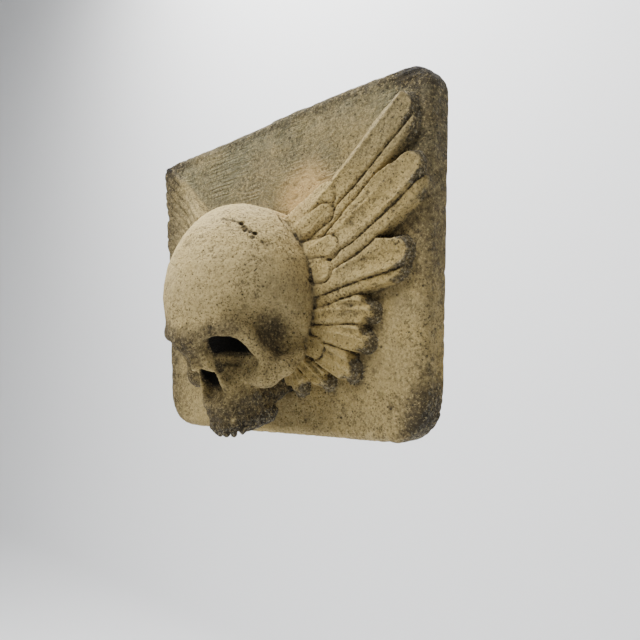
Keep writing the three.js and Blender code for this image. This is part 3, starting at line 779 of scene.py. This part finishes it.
def weathering_tree():
    """Roughens a carved form along its normals with lumps, sand grains and pits; the back stays plain."""
    tree = bpy.data.node_groups.new("stone_weathering", "GeometryNodeTree")
    tree.is_modifier = True
    tree.interface.new_socket("Geometry", in_out="INPUT", socket_type="NodeSocketGeometry")
    for name in WEATHERING:
        tree.interface.new_socket(name, in_out="INPUT", socket_type="NodeSocketFloat")
    tree.interface.new_socket("Stone", in_out="INPUT", socket_type="NodeSocketMaterial")
    tree.interface.new_socket("Geometry", in_out="OUTPUT", socket_type="NodeSocketGeometry")
    given = add_node(tree, "NodeGroupInput")
    place = add_node(tree, "GeometryNodeInputPosition")[0]
    normal = add_node(tree, "GeometryNodeInputNormal")[0]
    times = partial(sums, tree, "MULTIPLY")

    def roughness(size, detail, depth):
        scale = sums(tree, "DIVIDE", 1.0, size)
        inputs = {"Vector": place, "W": given["Seed"], "Scale": scale, "Detail": detail, "Roughness": 0.6}
        noise = add_node(tree, "ShaderNodeTexNoise", inputs, noise_dimensions="4D")[0]
        return times(sums(tree, "MULTIPLY_ADD", noise, 4.0, -2.0), depth)

    lump = roughness(given["Lump Size"], 1.0, given["Lump Depth"])
    grain = roughness(given["Grain Size"], 2.0, given["Grain Depth"])
    # pits in some cells of a warped pattern
    warp = add_node(tree, "ShaderNodeTexNoise", {"Vector": place, "Scale": 420.0, "Detail": 2.0})["Color"]
    shifts = {0: warp, 1: (0.005, 0.005, 0.005), 2: place}
    shifted = add_node(tree, "ShaderNodeVectorMath", shifts, operation="MULTIPLY_ADD")[0]
    spacing = sums(tree, "DIVIDE", 1.0, given["Pit Spacing"])
    cells = add_node(tree, "ShaderNodeTexVoronoi", {"Vector": shifted, "Scale": spacing})
    picked = add_node(tree, "FunctionNodeSeparateColor", {0: cells["Color"]})[0]
    chosen = sums(tree, "GREATER_THAN", picked, 0.62)
    hole = ramp_value(tree, cells["Distance"], 0.05, 0.2, 1.0, 0.0)
    pit = times(times(hole, chosen), given["Pit Depth"])
    rough = sums(tree, "SUBTRACT", sums(tree, "ADD", lump, grain), pit)
    depth = add_node(tree, "ShaderNodeSeparateXYZ", {0: place})["Y"]
    rough = times(rough, ramp_value(tree, depth, -0.0045, -0.0015, 1.0, 0.0))
    offset = add_node(tree, "ShaderNodeVectorMath", {"Vector": normal, "Scale": rough}, operation="SCALE")[0]
    moves = {"Geometry": given["Geometry"], "Offset": offset}
    moved = add_node(tree, "GeometryNodeSetPosition", moves)[0]
    real = add_node(tree, "GeometryNodeRealizeInstances", {"Geometry": moved})[0]
    finish = add_node(tree, "GeometryNodeSetMaterial", {"Geometry": real, "Material": given["Stone"]})[0]
    add_node(tree, "NodeGroupOutput", {0: finish})
    return tree


def weathered(piece, wear, stone):
    """The piece's mesh after the weathering nodes and with its triangles brought down."""
    modifier = piece.modifiers.new("weathering", "NODES")
    modifier.node_group = weathering_tree()
    values = {name: float(getattr(wear, name.lower().replace(" ", "_"))) for name in WEATHERING}
    values["Stone"] = stone
    for item in modifier.node_group.interface.items_tree:
        if item.in_out == "INPUT" and item.name in values:
            modifier[item.identifier] = values[item.name]
    triangles = 2 * len(piece.data.polygons)
    thin = piece.modifiers.new("thinning", "DECIMATE")
    thin.ratio = min(1.0, wear.triangles / triangles)
    evaluated = piece.evaluated_get(bpy.context.evaluated_depsgraph_get())
    mesh = bpy.data.meshes.new_from_object(evaluated)
    piece.modifiers.clear()
    return mesh


# How sheltered, crusted and bleached each point of the surface is, and where shade and light are painted


def pooled(solid, step, size):
    """Share of stone in blocks of size cubed cells."""
    keep = [n - n % size for n in solid.shape]
    full = np.clip(0.5 - solid[: keep[0], : keep[1], : keep[2]] / step, 0.0, 1.0)
    shape = [m for n in keep for m in (n // size, size)]
    return full.reshape(shape).mean(axis=(1, 3, 5))


def blurred(values, reach):
    for axis in range(3):
        padded = np.pad(values, [(reach, reach) if n == axis else (0, 0) for n in range(3)], mode="edge")
        size = values.shape[axis]
        span = 2 * reach + 1
        values = sum(np.take(padded, range(k, k + size), axis) for k in range(span)) / span
    return values


def sampled(values, origin, step, points):
    place = np.clip((points - origin) / step, 0.0, np.array(values.shape) - 1.001)
    base = place.astype(int)
    t = place - base
    total = np.zeros(len(points))
    for corner in CUBE:
        weight = np.ones(len(points))
        for n in range(3):
            weight *= t[:, n] if corner[n] else 1.0 - t[:, n]
        total += weight * values[tuple((base + corner).T)]
    return total


def shelter(solid, lines, step, points, block, reach):
    origin = np.array([line[0] for line in lines]) + step * (block - 1) / 2.0
    stone = pooled(solid, step, block)
    for _ in range(2):
        stone = blurred(stone, reach)
    return sampled(stone, origin, step * block, points)


def vertex_vectors(mesh, name):
    values = np.empty(len(mesh.vertices) * 3)
    mesh.vertices.foreach_get(name, values)
    return values.reshape(-1, 3)


def mark_surface(mesh, solid, lines, step, slab, skull, wings):
    """Vertex attributes that the stone's finish reads."""
    points, normals = vertex_vectors(mesh, "co") * MM, vertex_vectors(mesh, "normal")
    x, y, z = points.T
    # how closely stone surrounds each point, near and broad; the finish paints dirt and shade into the
    # enclosed parts
    fine = shelter(solid, lines, step, points, 1, 1) - 0.5
    broad = shelter(solid, lines, step, points, 3, 2) - 0.5
    _, crust = both_wings(x, z, slab, wings)
    outline = slab_outline(x, z, slab)
    head = skull_form(x, y, z, skull)
    across, front, up, back, rise, _ = face_place(x, y, z, skull)
    side = np.abs(across)
    on_skull = ease(3.0, 0.5, head)
    off = 1.0 - on_skull
    off_slab = -y - slab.thickness * MM
    on_wing = ease(1.0, 4.0, off_slab) * off
    # crust: feather tips, the slab's edges and corners, the teeth
    edge = ease(-6.0, 1.0, outline) * (0.42 + 0.24 * ease(60.0, 150.0, z))
    corner = bump_at(np.hypot(x - 172.0, z + 144.0), 0.0, 30.0) * ease(-30.0, -6.0, outline)
    edge = np.clip(edge + 0.55 * corner, 0.0, 1.0)
    tooth = on_skull * ease(-66.0, -76.0, up)
    tips = crust * ease(0.5, 2.5, off_slab)
    rough_jaw = 0.47 * on_skull * ease(-38.0, -62.0, up)
    grime = np.clip(np.maximum.reduce([edge * off, 0.92 * tips * off, 0.9 * tooth, rough_jaw]), 0.0, 1.0)
    # soot and painted shade: painted shadow at the top of the eye socket and at the root of the nose under
    # the brow, painted shade in the temple hollow with some brown dirt, in the nose opening and low on the
    # forehead; darker down the lower face and the jaw and a little on the arch; soot along the cracks
    temple = bump_at(side, 58.0, 15.0) * bump_at(front, -44.0, 17.0) * bump_at(up, -7.0, 17.0)
    bridge = bump_at(side, 0.0, 21.0) * bump_at(up, -5.0, 13.0) * ease(-24.0, -13.0, front)
    ring = socket_ring(side, up)
    socket = 2.0 * ease(-9.0, -18.0, front) * ease(1.14, 1.05, ring) * ease(-8.0, 5.0, rise)
    arch = bump_at(side, 51.0, 8.0) * bump_at(front, -40.0, 10.0) * bump_at(up, -27.0, 8.0)
    nostril = ease(15.0, 10.0, side) * ease(-7.0, -14.0, front)
    nostril = nostril * ease(-36.0, -20.0, rise) * ease(-4.0, -12.0, rise)
    wear = cranium_wear(across, back, rise)
    crack = np.maximum(0.5 * bump_at(np.maximum(wear, 0.0), 0.0, 6.0), ease(1.2, 0.1, wear))
    forehead = 0.72 * bump_at(up, 14.0, 14.0) * ease(-36.0, -16.0, front)
    forehead = forehead + 0.45 * bump_at(across, -50.0, 30.0) * ease(70.0, 10.0, up)
    jaw = 0.5 * ease(-16.0, -34.0, up) + 0.55 * ease(-40.0, -58.0, up)
    soot_and_shade = 1.3 * temple + 0.7 * bridge + socket + 0.15 * arch + 1.8 * nostril + 0.8 * jaw + forehead
    soot_and_shade = on_skull * np.maximum(soot_and_shade, crack)
    # stains on the slab: right side, bottom right corner, left side, top edge, low on the left; wing tips
    right_side = ease(132.0, 170.0, x) * (0.42 + 0.26 * ease(-60.0, 10.0, z)) * (1.0 - 0.85 * on_wing)
    stain = (
        right_side
        + 0.75 * bump_at(np.hypot(x - 172.0, z + 142.0), 0.0, 38.0)
        + 0.5 * ease(-120.0, -178.0, x)
        + 0.75 * ease(122.0, 148.0, z)
        + 0.34 * ease(-100.0, -160.0, x) * ease(20.0, -60.0, z)
        + 0.32 * on_wing * ease(76.0, 112.0, np.abs(x))
    )
    soot_and_shade = soot_and_shade + off * stain
    # paleness, partly bleached stone and partly painted light: top of the cranium most, then the raised
    # parts of the wings; the cranium's lower right is held darker as painted shade
    cranium = on_skull * ease(0.0, 30.0, up) * (1.0 - 0.45 * ease(20.0, 62.0, across) * ease(90.0, 40.0, up))
    root = bump_at(np.hypot(np.abs(x) - 78.0, z - 30.0), 0.0, 44.0)
    bleach_and_painted_light = 0.1 + 0.9 * cranium + on_wing * (0.14 + 0.95 * root) + 0.35 * on_skull * (1.0 - cranium)
    # painted top light: faces that turn up are paler and faces that turn down darker
    bleach_and_painted_light = bleach_and_painted_light * (0.7 + 0.3 * ease(-0.6, 0.5, normals[:, 2]))
    for name, values in (
        ("hollow", np.clip(fine * 2.0, -1.0, 1.0)),
        ("shelter", np.clip(broad * 2.0, -1.0, 1.0)),
        ("grime", grime),
        ("soot_and_shade", np.clip(soot_and_shade, 0.0, 2.0)),
        ("bleach_and_painted_light", np.clip(bleach_and_painted_light, 0.0, 1.0)),
        ("skull", on_skull),
        ("wing", np.clip(on_wing, 0.0, 1.0)),
    ):
        attribute = mesh.attributes.new(name, "FLOAT", "POINT")
        attribute.data.foreach_set("value", values.astype(np.float32))


# Stone finish


def cast_stone(colours):
    stone = bpy.data.materials.new("sandy_cast_stone")
    stone.use_nodes = True
    tree = stone.node_tree
    shader = tree.nodes["Principled BSDF"]
    place = add_node(tree, "ShaderNodeTexCoord")["Object"]
    ramp = partial(ramp_value, tree)
    times, plus = partial(sums, tree, "MULTIPLY"), partial(sums, tree, "ADD")
    buff, ochre, field, moss, blush, dirt_and_shade, lichen, pale = ((*getattr(colours, name), 1.0) for name in TONES)

    def told(name):
        return add_node(tree, "ShaderNodeAttribute", attribute_name=name)["Fac"]

    def noise(scale, detail=3.0, rough=0.55, twist=0.0, vector=place):
        inputs = {"Vector": vector, "Scale": scale, "Detail": detail, "Roughness": rough}
        return add_node(tree, "ShaderNodeTexNoise", {**inputs, "Distortion": twist})[0]

    def blend(factor, under, over):
        return add_node(tree, "ShaderNodeMix", {0: factor, 6: under, 7: over}, data_type="RGBA")[2]

    def coat(under, mask, share, over):
        return blend(times(mask, share), under, over)

    def centred(value, amount):
        return sums(tree, "MULTIPLY_ADD", value, amount, -0.5 * amount)

    names = ("hollow", "shelter", "grime", "soot_and_shade", "bleach_and_painted_light", "skull", "wing")
    hollow, sheltered, grime, soot_and_shade, bleach_and_painted_light, on_skull, on_wing = map(told, names)
    split = add_node(tree, "ShaderNodeSeparateXYZ", {0: place})
    height = split["Z"]
    # ground tone: dull slab to dry buff where the stone is bleached and where top light is painted, with
    # warm ochre clouds
    cloud = noise(18.0, 4.0, 0.6)
    fleck = noise(120.0, 4.0, 0.7)
    dryness = plus(bleach_and_painted_light, plus(centred(cloud, 1.3), centred(fleck, 0.5)))
    ground = blend(ramp(dryness, 0.05, 0.95), field, buff)
    warm = times(ramp(noise(9.0, 3.0, 0.6, 0.4), 0.42, 0.66), 0.4)
    low = plus(times(on_wing, 0.32), ramp(height, 0.02, -0.09, 0.0, 0.5))
    ground = blend(plus(warm, low), ground, ochre)
    # green film over the upper slab
    bare = sums(tree, "SUBTRACT", 1.0, plus(on_skull, times(on_wing, 0.7)))
    film = times(ramp(height, 0.02, 0.13), ramp(noise(13.0, 4.0, 0.6), 0.25, 0.6))
    ground = coat(ground, times(film, bare), 0.7, moss)
    # pinkish patch on the slab above the skull's right side, kept off the back
    apart = add_node(tree, "ShaderNodeVectorMath", {0: place, 1: BLUSH_MIDDLE}, operation="DISTANCE")
    patch = ramp(plus(apart["Value"], centred(cloud, 0.02)), 0.012, 0.045, 1.0, 0.0)
    forward = ramp(split["Y"], -0.008, -0.02)
    ground = coat(ground, times(patch, forward), 0.8, blush)
    # raised edges worn pale; hollows darkened with dirt and painted shade, the broadly sheltered parts too
    ground = coat(ground, ramp(hollow, -0.1, -0.34), 0.45, buff)
    held = plus(hollow, centred(fleck, 0.4))
    ground = coat(ground, ramp(held, 0.06, 0.4), 0.9, dirt_and_shade)
    ground = coat(ground, ramp(sheltered, 0.12, 0.6), 0.5, dirt_and_shade)
    # soot and painted shade lie in flecks that run together where they are thick
    thick = plus(soot_and_shade, plus(centred(fleck, 0.8), centred(noise(330.0, 3.0, 0.7), 0.6)))
    ground = coat(ground, ramp(thick, 0.3, 0.95), 0.9, dirt_and_shade)
    # dark crust with pale grey specks
    ragged = plus(grime, centred(noise(110.0, 5.0, 0.75), 1.7))
    specks = ramp(noise(330.0, 3.0, 0.75), 0.5, 0.66)
    crust = coat(lichen, specks, 0.8, pale)
    ground = coat(ground, ramp(ragged, 0.36, 0.8), 0.84, crust)
    # sand grain: dark and light specks all over, the dark ones in drifts and thicker where soot and painted
    # shade lie
    sand = noise(480.0, 2.0, 0.8)
    coarse = noise(250.0, 3.0, 0.75)
    gritty = ramp(plus(noise(20.0), times(soot_and_shade, 0.3)), 0.38, 0.62, 0.5, 1.1)
    for grain, starts, full, dark_share, light_share in (
        (coarse, 0.47, 0.34, 0.5, 0.3),
        (sand, 0.49, 0.36, 0.62, 0.5),
    ):
        ground = blend(times(times(ramp(grain, starts, full), dark_share), gritty), ground, dirt_and_shade)
        ground = coat(ground, ramp(grain, 0.54, 0.7), light_share, buff)
    # small black pits in drifts, more where soot and painted shade lie, and near black, mostly painted deep
    # shadow, where the soot and painted shade are thickest
    dots = add_node(tree, "ShaderNodeTexVoronoi", {"Vector": place, "Scale": 360.0})
    picked = add_node(tree, "ShaderNodeSeparateColor", {0: dots["Color"]})[0]
    spots = plus(times(soot_and_shade, 0.3), times(on_skull, 0.1))
    drift = plus(picked, plus(centred(noise(26.0), 0.9), spots))
    round_dot = ramp(plus(dots["Distance"], centred(sand, 0.2)), 0.12, 0.3, 1.0, 0.0)
    dot = times(round_dot, ramp(drift, 0.78, 0.84))
    ground = coat(ground, dot, 0.8, lichen)
    ground = coat(ground, ramp(thick, 1.0, 1.5), 0.97, NEAR_BLACK)
    tree.links.new(ground, shader.inputs["Base Color"])

    rough = ramp(noise(60.0), 0.3, 0.7, colours.roughness - 0.09, colours.roughness + 0.06)
    tree.links.new(rough, shader.inputs["Roughness"])
    shader.inputs["Specular IOR Level"].default_value = 0.25

    # comb strokes across the middle of the upper slab, as a grain drawn out sideways
    drawn = add_node(tree, "ShaderNodeVectorMath", {0: place, 1: (0.09, 0.09, 1.0)}, operation="MULTIPLY")[0]
    combed = ramp(noise(300.0, 2.0, 0.5, 0.3, drawn), 0.4, 0.6)
    strokes = times(ramp(height, 0.06, 0.09), ramp(noise(24.0), 0.46, 0.66))
    relief = times(times(combed, times(strokes, bare)), 0.8)
    relief = plus(relief, noise(230.0, 3.0, 0.7))
    relief = plus(relief, times(noise(480.0, 3.0, 0.75), 0.9))
    relief = sums(tree, "SUBTRACT", relief, times(dot, 0.9))
    normal = add_node(tree, "ShaderNodeBump", {"Strength": 0.85, "Distance": 0.0019, "Height": relief})[0]
    tree.links.new(normal, shader.inputs["Normal"])
    return stone


# Operators


class PLAQUE_OT_casting(bpy.types.Operator):
    """Carves, weathers and finishes the one-piece casting"""

    bl_idname = "plaque.casting"
    bl_label = "Cast the plaque"

    def execute(self, context):
        scene = context.scene
        slab, skull = scene.plaque_slab, scene.plaque_skull
        wings, wear = scene.plaque_wings, scene.plaque_wear
        step = wear.carving_step * MM
        solid, lines = carve(slab, skull, wings, step)
        settle(solid)
        points, quads = largest(*surface(solid, lines, step))
        stone = cast_stone(scene.plaque_stone)
        piece = bpy.data.objects.new("winged_skull_casting", mesh_from("carved_form", points / MM, quads))
        scene.collection.objects.link(piece)
        piece.data = weathered(piece, wear, stone)
        piece.data.name = "winged_skull_casting"
        keep_in_box(piece.data)
        mark_surface(piece.data, solid, lines, step, slab, skull, wings)
        piece.data.polygons.foreach_set("use_smooth", [True] * len(piece.data.polygons))
        if not len(piece.data.materials):
            piece.data.materials.append(stone)
        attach(piece, "root")
        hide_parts("winged_skull_plaque")
        print("casting:", len(piece.data.polygons), "faces")
        return {"FINISHED"}


def keep_in_box(mesh):
    """Holds every point within the size of the cast."""
    low, high = (np.array(corner) for corner in CAST_BOX)
    points = np.clip(vertex_vectors(mesh, "co"), low, high)
    mesh.vertices.foreach_set("co", points.ravel())
    mesh.update()


class PLAQUE_OT_studio(bpy.types.Operator):
    """Sets up the floor, the backdrop, the lights and the camera"""

    bl_idname = "plaque.studio"
    bl_label = "Set up the studio"

    def execute(self, context):
        scene = context.scene
        studio = scene.plaque_studio
        sweep(scene, studio)
        surround(scene, studio)
        area_light(scene, "key_light", (-0.55, -1.2, 1.6), (0.0, -0.05, 0.0), 1.2, studio.key_power)
        place, target = (-0.9, 0.35, 2.6), (-1.1, studio.backdrop, 0.0)
        area_light(scene, "backdrop_light", place, target, 2.0, studio.backdrop_power)
        camera(scene)
        return {"FINISHED"}


def surround(scene, studio):
    """Even light all round, strong from above and weak from below, as under a grey sky."""
    world = bpy.data.worlds.new("surround")
    world.use_nodes = True
    tree = world.node_tree
    around = add_node(tree, "ShaderNodeTexCoord")["Generated"]
    rise = add_node(tree, "ShaderNodeSeparateXYZ", {0: around})["Z"]
    strength = ramp_value(tree, rise, -0.3, 0.75, 0.05 * studio.sky, studio.sky)
    background = tree.nodes["Background"]
    background.inputs[0].default_value = (0.97, 0.98, 1.0, 1.0)
    tree.links.new(strength, background.inputs[1])
    scene.world = world


def sweep(scene, studio):
    """Pale floor that curves up into the backdrop."""
    wide, front, top, bend, steps = 12.0, -5.0, 3.0, 0.35, 12
    back, floor = studio.backdrop, -studio.floor_drop
    profile = [(front, floor)]
    for i in range(steps + 1):
        turn = math.pi / 2 * i / steps
        profile.append((back - bend + bend * math.sin(turn), floor + bend * (1.0 - math.cos(turn))))
    profile.append((back, top))
    points = [(x, y, z) for y, z in profile for x in (-wide, wide)]
    faces = np.array([(2 * i, 2 * i + 1, 2 * i + 3, 2 * i + 2) for i in range(len(profile) - 1)])
    paper = bpy.data.materials.new("pale_paper")
    paper.use_nodes = True
    inputs = paper.node_tree.nodes["Principled BSDF"].inputs
    inputs["Base Color"].default_value = (0.88, 0.885, 0.89, 1.0)
    inputs["Roughness"].default_value = 1.0
    obj = bpy.data.objects.new("studio_sweep", mesh_from("studio_sweep", points, faces))
    obj.data.polygons.foreach_set("use_smooth", [True] * len(obj.data.polygons))
    obj.data.materials.append(paper)
    scene.collection.objects.link(obj)


def area_light(scene, name, place, target, size, power):
    data = bpy.data.lights.new(name, "AREA")
    data.shape = "DISK"
    data.size = size
    data.energy = power
    light = bpy.data.objects.new(name, data)
    light.location = place
    light.rotation_euler = (Vector(target) - Vector(place)).to_track_quat("-Z", "Y").to_euler()
    scene.collection.objects.link(light)


def camera(scene):
    """Camera at the photograph's place and angle, to the right of the plaque and a little below it."""
    yaw, pitch, roll = (math.radians(v) for v in CAMERA_TURN)
    forward = Vector((-math.sin(yaw) * math.cos(pitch), math.cos(yaw) * math.cos(pitch), math.sin(pitch)))
    right = forward.cross(Vector((0.0, 0.0, 1.0))).normalized()
    up = right.cross(forward)
    rolled_right = math.cos(roll) * right + math.sin(roll) * up
    rolled_up = -math.sin(roll) * right + math.cos(roll) * up
    data = bpy.data.cameras.new("camera")
    data.sensor_width = 36.0
    data.lens = CAMERA_LENS
    data.clip_start, data.clip_end = 0.01, 50.0
    obj = bpy.data.objects.new("camera", data)
    turn = Matrix((rolled_right, rolled_up, -forward)).transposed()
    obj.matrix_world = Matrix.Translation(CAMERA_PLACE) @ turn.to_4x4()
    scene.collection.objects.link(obj)
    scene.camera = obj


# Panel and registration


class PLAQUE_PT_panel(bpy.types.Panel):
    bl_label = "Winged Skull Plaque"
    bl_idname = "PLAQUE_PT_panel"
    bl_space_type = "VIEW_3D"
    bl_region_type = "UI"
    bl_category = "Plaque"

    def draw(self, context):
        layout = self.layout
        for operator in OPERATORS:
            layout.operator(operator.bl_idname)
        for name, kind in GROUPS.items():
            box = layout.box()
            box.label(text=kind.__name__.replace("Plaque", ""))
            group = getattr(context.scene, name)
            for field in kind.__annotations__:
                box.prop(group, field)


GROUPS = {
    "plaque_slab": PlaqueSlab,
    "plaque_skull": PlaqueSkull,
    "plaque_wings": PlaqueWings,
    "plaque_wear": PlaqueWear,
    "plaque_stone": PlaqueStone,
    "plaque_studio": PlaqueStudio,
}
OPERATORS = (PLAQUE_OT_casting, PLAQUE_OT_studio)


def register():
    for kind in (*GROUPS.values(), *OPERATORS, PLAQUE_PT_panel):
        bpy.utils.register_class(kind)
    for name, kind in GROUPS.items():
        setattr(bpy.types.Scene, name, bpy.props.PointerProperty(type=kind))


def unregister():
    for name in GROUPS:
        delattr(bpy.types.Scene, name)
    for kind in reversed((*GROUPS.values(), *OPERATORS, PLAQUE_PT_panel)):
        bpy.utils.unregister_class(kind)


def main():
    register()
    bpy.ops.plaque.casting()
    bpy.ops.plaque.studio()


if __name__ == "__main__":
    main()
